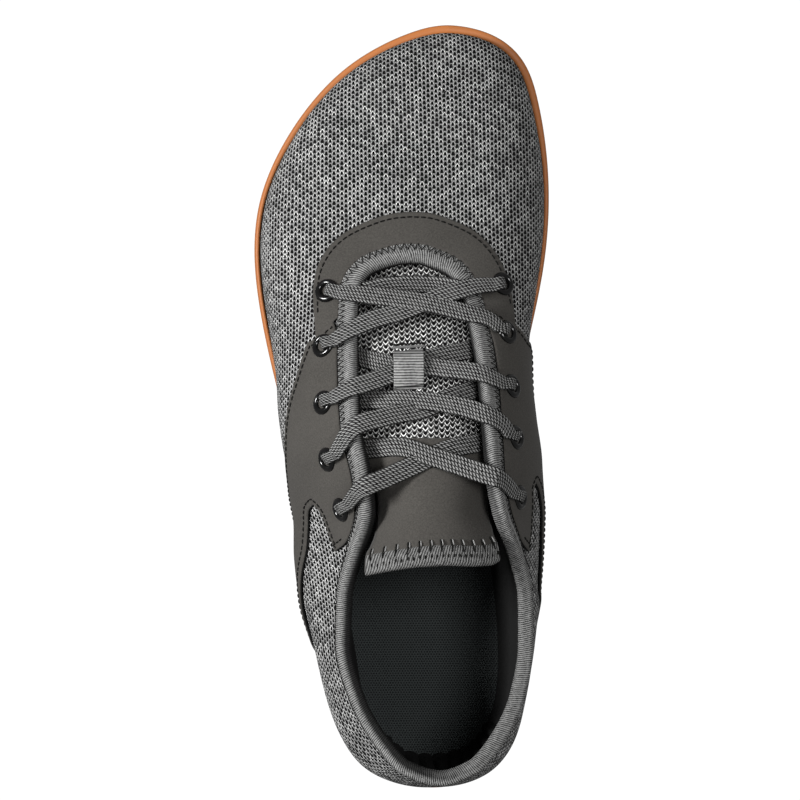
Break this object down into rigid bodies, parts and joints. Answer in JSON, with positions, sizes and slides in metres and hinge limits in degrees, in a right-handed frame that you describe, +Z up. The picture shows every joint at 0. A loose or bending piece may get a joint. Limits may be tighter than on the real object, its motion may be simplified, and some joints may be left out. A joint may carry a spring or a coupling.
{
  "type": "barefoot shoe",
  "caption": "Left lace-up barefoot shoe: knit upper, flat cup sole with lug tread, bound collar, tongue, overlays, eyelets and flat laces.",
  "frame": {"origin": "centre of the bounding box, on the ground plane", "axes": "+Y to the toe, +X to the inner side of the foot, +Z up"},
  "size_m": [0.1078, 0.278, 0.0925],
  "materials": {
    "sole_rubber": "satin gum rubber",
    "knit": "melange knit",
    "insole_fabric": "matte dotted textile",
    "binding": "ribbed elastic",
    "microsuede": "matte microsuede",
    "eyelet": "gloss black",
    "lace": "flat braid",
    "webbing": "ribbed webbing"
  },
  "bodies": {
    "root": {"outsole": "sole_rubber", "upper": "knit", "insole": "insole_fabric", "tongue": "knit", "edge_binding": "binding", "front_overlay": "microsuede", "quarter_overlay_outer": "microsuede", "quarter_overlay_inner": "microsuede", "eyelet_outer_1": "eyelet", "eyelet_outer_2": "eyelet", "eyelet_outer_3": "eyelet", "eyelet_outer_4": "eyelet", "eyelet_outer_5": "eyelet", "eyelet_inner_1": "eyelet", "eyelet_inner_2": "eyelet", "eyelet_inner_3": "eyelet", "eyelet_inner_4": "eyelet", "eyelet_inner_5": "eyelet", "lace_row_1": "lace", "lace_row_2": "lace", "lace_row_3": "lace", "lace_row_4": "lace", "lace_bar": "lace", "lace_keeper": "webbing"}
  },
  "joints": []
}
